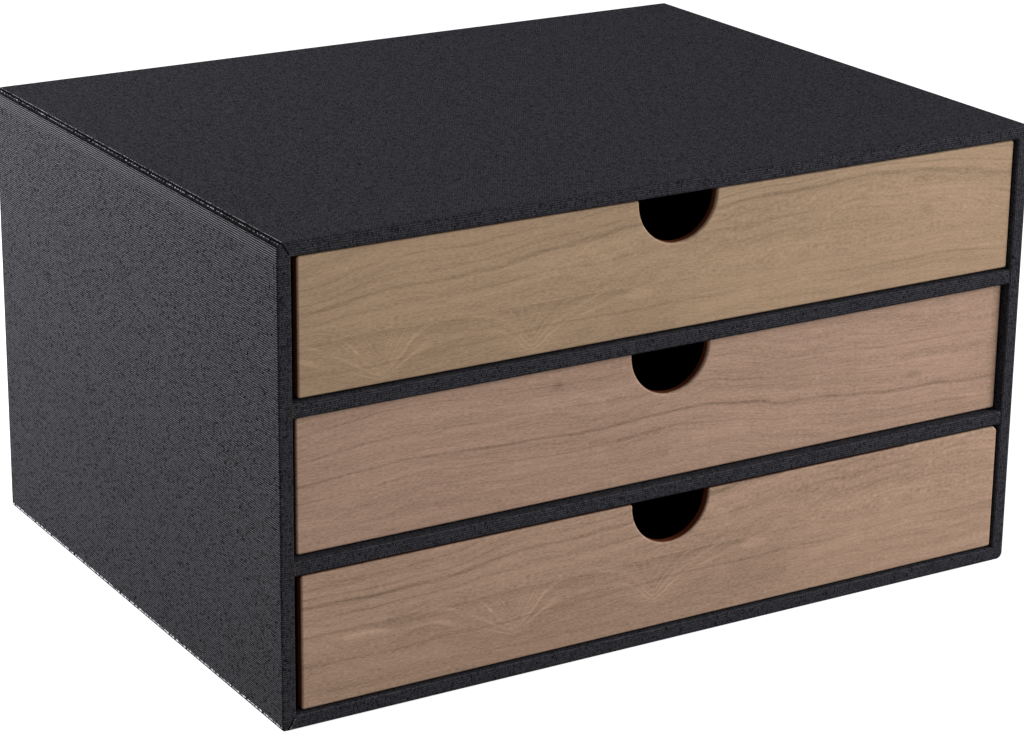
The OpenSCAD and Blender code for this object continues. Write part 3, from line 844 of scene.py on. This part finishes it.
line_figure = {
    "offset": (0.0, 0.0, 0.0), "calm": 0.0, "lively": 1.0,
    "rise": [(-220, 8), (-157, 9), (-115, 11), (-60, 9.4), (-20, 9), (15, 9.6), (38, 7.4), (52, 5.2),
             (62, 4.6), (115, 1.2), (180, 0)],
    "late_wood": [(14.2, 1.1, 0.3), (7.5, 0.8, 0.18), (24.5, 0.8, 0.15), (34.0, 0.8, 0.15)],
    "knots": [(-50, 45, 7, 8), (116, 21.5, 9, 4)],
}
prints = {
    "top": ("#ba9c7f", "#826c56", {"offset": (0.0, 0.0, 0.0), **heart_figure}),
    "middle": ("#c19f8a", "#7c6453", line_figure),
    "bottom": ("#c3a28b", "#7e6654", {"offset": (56.0, 0.0, 9.0), **heart_figure}),
}
for tier, (light, dark, figure) in prints.items():
    drawer = f"{tier}_drawer"
    front_low, front_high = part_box(f"{drawer}_front_foil")
    centre_x = (front_low.x + front_high.x) / 2
    notch_z = front_high.z - notch_lip_r
    front = block(f"{drawer}_walnut_look_front", front_low, front_high)
    bpy.ops.object.mode_set(mode="OBJECT")
    cutter = block("notch_cutter", (centre_x - notch_r, front_low.y - MM, notch_z - notch_r),
                   (centre_x + notch_r, front_high.y + MM, front_high.z + MM))
    bpy.ops.object.mode_set(mode="OBJECT")
    bpy.context.view_layer.objects.active = front
    apply_modifier(front, "BOOLEAN", operation="DIFFERENCE", object=cutter, solver="EXACT")
    bpy.data.objects.remove(cutter)
    front.select_set(True)
    bpy.ops.object.mode_set(mode="EDIT")

    def is_blunt(spot):
        """Whether a corner is the one that was wrapped rounder than the others."""
        return tier == "bottom" and spot.x > centre_x and spot.z > notch_z

    for radius, segments, test in (
        (notch_r, 24, lambda spot: abs(spot.x - centre_x) < notch_r + MM and spot.z < notch_z),
        (notch_lip_r, 6, lambda spot: abs(spot.x - centre_x) < notch_r + MM and spot.z > notch_z),
        (front_corner_r, 6, lambda spot: abs(spot.x - centre_x) > 2 * notch_r and not is_blunt(spot)),
        (blunt_corner_r, 8, lambda spot: abs(spot.x - centre_x) > 2 * notch_r and is_blunt(spot)),
    ):
        pick(front, "EDGE", lambda e: abs(e.verts[0].co.y - e.verts[1].co.y) > MM and test(middle(e)))
        roll_edges(radius - roll_gap, segments)
    pick(front, "EDGE", edges_in(1, front_low.y))
    roll_edges(front_edge_r, 5)
    below_notch = notch_z - notch_r - foil_turn / 2
    for place, normal in (((front_low.x + foil_turn, 0, 0), (1, 0, 0)),
                          ((front_high.x - foil_turn, 0, 0), (1, 0, 0)),
                          ((0, 0, front_low.z + foil_turn), (0, 0, 1)),
                          ((0, 0, below_notch), (0, 0, 1))):
        pick(front, "FACE", faces_at(1, front_high.y, 1))
        cut(place, normal)

    def behind_board(face):
        """Whether a face of the back lies where no paper is turned."""
        spot = middle(face)
        return (face.normal.y > 0.9 and front_low.x + foil_turn < spot.x < front_high.x - foil_turn
                and front_low.z + foil_turn < spot.z < below_notch)

    pick(front, "FACE", behind_board)
    bpy.ops.mesh.delete(type="FACE")
    bpy.ops.object.mode_set(mode="OBJECT")
    origin = (centre_x, front_low.y, front_low.z)
    make_sheet(front, foil_t, [walnut_look_paper(f"walnut_look_paper_{tier}", origin, light, dark, figure)])
    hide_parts(f"{drawer}_front_foil")
    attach(front, drawer)

# ---------------------------------------------------------------- the studio
# A white floor and white surroundings, a large soft lamp at the front on the right, and another
# behind on the left that rakes along the left side.


floor_gap = 0.02 * MM
floor_glow = 0.86
sky_light = 0.4


def white_for_the_eye(tree):
    """1 for what the camera, a reflection or a clear surface looks at directly, otherwise 0."""
    path = add_node(tree, "LightPath")
    seen = add_node(tree, "Math", {
        0: path.outputs["Is Camera Ray"], 1: path.outputs["Is Glossy Ray"],
    }, operation="MAXIMUM")
    return add_node(tree, "Math", {0: seen, 1: path.outputs["Is Transmission Ray"]}, operation="MAXIMUM")


def floor_material():
    """Matt pale floor that looks white to the eye and still takes the object's shadow."""
    material, tree = new_material("studio_floor")
    matt = add_node(tree, "BsdfDiffuse", {"Color": linear("#a0a0a0")})
    strength = add_node(tree, "Math", {0: white_for_the_eye(tree), 1: floor_glow}, operation="MULTIPLY")
    glow = add_node(tree, "Emission", {"Color": (1, 1, 1, 1), "Strength": strength})
    both = add_node(tree, "AddShader", {0: matt, 1: glow})
    add_node(tree, "OutputMaterial", {"Surface": both})
    return material


bpy.ops.object.select_all(action="DESELECT")
bpy.ops.mesh.primitive_plane_add(size=12, location=(0, 0, -floor_gap))
floor = bpy.context.object
floor.name = "studio_floor"
floor.data.materials.append(floor_material())

world = bpy.data.worlds.new("studio")
bpy.context.scene.world = world
world.use_nodes = True
world.node_tree.nodes.clear()
surround = add_node(world.node_tree, "Math", {
    0: white_for_the_eye(world.node_tree), 1: 1 - sky_light, 2: sky_light,
}, operation="MULTIPLY_ADD")
sky = add_node(world.node_tree, "Background", {"Color": (1, 1, 1, 1), "Strength": surround})
add_node(world.node_tree, "OutputWorld", {"Surface": sky})


def soft_lamp(name, place, target, width, height, power):
    """A rectangular studio lamp that faces the target."""
    bpy.ops.object.light_add(type="AREA", location=place)
    lamp = bpy.context.object
    lamp.name = name
    lamp.data.shape = "RECTANGLE"
    lamp.data.size = width
    lamp.data.size_y = height
    lamp.data.energy = power
    lamp.rotation_euler = (Vector(target) - Vector(place)).to_track_quat("-Z", "Y").to_euler()
    return lamp


middle_of_chest = (0, 0, 0.09)
soft_lamp("front_lamp", place=(1.0, -0.8, 0.5), target=middle_of_chest, width=0.6, height=0.6, power=15.8)
soft_lamp("side_lamp", place=(-0.8, 0.6, 0.4), target=middle_of_chest, width=0.5, height=0.5, power=21.6)

# ---------------------------------------------------------------- the camera
# It stands at the front on the left, a little above the chest, with a long lens.
# The shift puts the chest where the photograph has it.

focal_px = 3064.9
image_w = 1024
image_h = 736
optical_axis = (400, 310)

bpy.ops.object.camera_add(location=(-0.6218, -1.0251, 0.4896))
camera = bpy.context.object
camera.name = "camera"
camera.rotation_euler = (math.radians(90 - 18.09), 0, math.radians(-29.304))
camera.data.sensor_width = 36
camera.data.lens = focal_px * camera.data.sensor_width / image_w
camera.data.shift_x = (image_w / 2 - optical_axis[0]) / image_w
camera.data.shift_y = (optical_axis[1] - image_h / 2) / image_w
bpy.context.scene.camera = camera
bpy.context.scene.view_settings.view_transform = "Standard"
